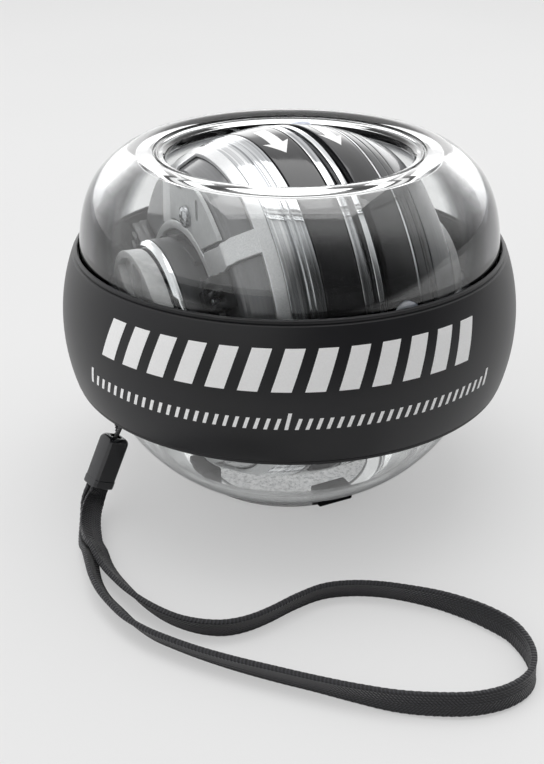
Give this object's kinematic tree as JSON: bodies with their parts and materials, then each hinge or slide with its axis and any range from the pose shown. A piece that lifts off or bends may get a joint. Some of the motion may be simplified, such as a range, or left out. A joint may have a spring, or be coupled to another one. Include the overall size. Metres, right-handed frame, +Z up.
{
  "type": "gyroscopic wrist ball",
  "caption": "Hand-held gyroscopic wrist ball: clear casing with a soft grip band, a spinning rotor in a turning ring, and a wrist strap.",
  "frame": {"origin": "on the floor, under the centre of the ball, at the level of the foot pads' undersides", "axes": "+Z up through the mouth, +X to the right and -Y towards the front, as the ball stands in the picture"},
  "size_m": [0.072, 0.099, 0.0567],
  "materials": {
    "clear_polycarbonate": "clear moulded polycarbonate, polished",
    "frosted_polycarbonate": "frosted, fine grain",
    "black_silicone": "matt silicone",
    "black_rubber": "matt rubber",
    "black_nylon": "woven nylon",
    "black_moulding": "satin moulded plastic",
    "satin_ring_metal": "satin turned aluminium",
    "white_moulding": "satin moulded plastic",
    "magnet": "nickel plated",
    "steel": "ground steel",
    "dark_panel": "gloss, dark graphite",
    "chrome": "bright plated",
    "zinc_alloy": "die-cast zinc alloy",
    "bronze": "sintered bronze",
    "smoked_plastic": "smoked, gloss",
    "satin_silver": "satin silver",
    "pale_plate": "pale grey satin",
    "light_lens": "clear dome",
    "coil_tape": "pale polyester tape over the winding",
    "circuit_board": "solder-masked board"
  },
  "bodies": {
    "casing": {"upper_shell": "clear_polycarbonate", "lower_shell": "clear_polycarbonate", "grip_band": "black_silicone", "base_liner": "frosted_polycarbonate", "foot_pad_1": "black_rubber", "foot_pad_2": "black_rubber", "foot_pad_3": "black_rubber", "foot_pad_4": "black_rubber", "strap_string": "black_nylon", "strap_connector": "black_moulding", "strap_ribbon": "black_nylon"},
    "ring": {"precession_ring": "satin_ring_metal", "left_axle_seat": "white_moulding", "right_axle_seat": "white_moulding", "generator_magnet_1": "magnet", "generator_magnet_2": "magnet"},
    "axle": {"axle": "steel", "spring_arbor": "steel", "mainspring": "steel", "spring_barrel": "dark_panel", "barrel_bezel": "chrome", "barrel_seal": "black_rubber"},
    "rotor": {"flywheel_core": "zinc_alloy", "left_bush": "bronze", "right_bush": "bronze", "left_chrome_band": "chrome", "left_panel": "dark_panel", "centre_chrome_band": "chrome", "groove_ring": "black_moulding", "groove_trim_ring": "chrome", "right_trim_ring": "chrome", "smoke_band": "smoked_plastic", "right_panel": "dark_panel", "light_lens_1": "light_lens", "light_lens_2": "light_lens", "light_lens_3": "light_lens", "light_lens_4": "light_lens", "left_housing": "smoked_plastic", "right_end_cup": "smoked_plastic", "silver_cage": "satin_silver", "end_plate_1": "pale_plate", "end_plate_2": "pale_plate", "end_plate_3": "pale_plate", "left_screw_1": "steel", "left_screw_2": "steel", "left_screw_3": "steel", "right_screw_1": "steel", "right_screw_2": "steel", "right_screw_3": "steel", "ratchet_pawl_1": "black_moulding", "ratchet_pawl_2": "black_moulding", "ratchet_pawl_3": "black_moulding", "right_hub": "chrome", "pickup_coil": "coil_tape", "light_board": "circuit_board"}
  },
  "joints": [
    {"name": "ring_turn", "type": "hinge", "parent": "casing", "child": "ring", "pos_m": [0, 0, 0.0293], "axis": [0, 0, 1], "continuous": true},
    {"name": "axle_spin", "type": "hinge", "parent": "ring", "child": "axle", "pos_m": [0, 0, 0.0293], "axis": [0.891, 0.454, 0], "continuous": true},
    {"name": "rotor_spin", "type": "hinge", "parent": "axle", "child": "rotor", "pos_m": [0, 0, 0.0293], "axis": [0.891, 0.454, 0], "continuous": true}
  ]
}
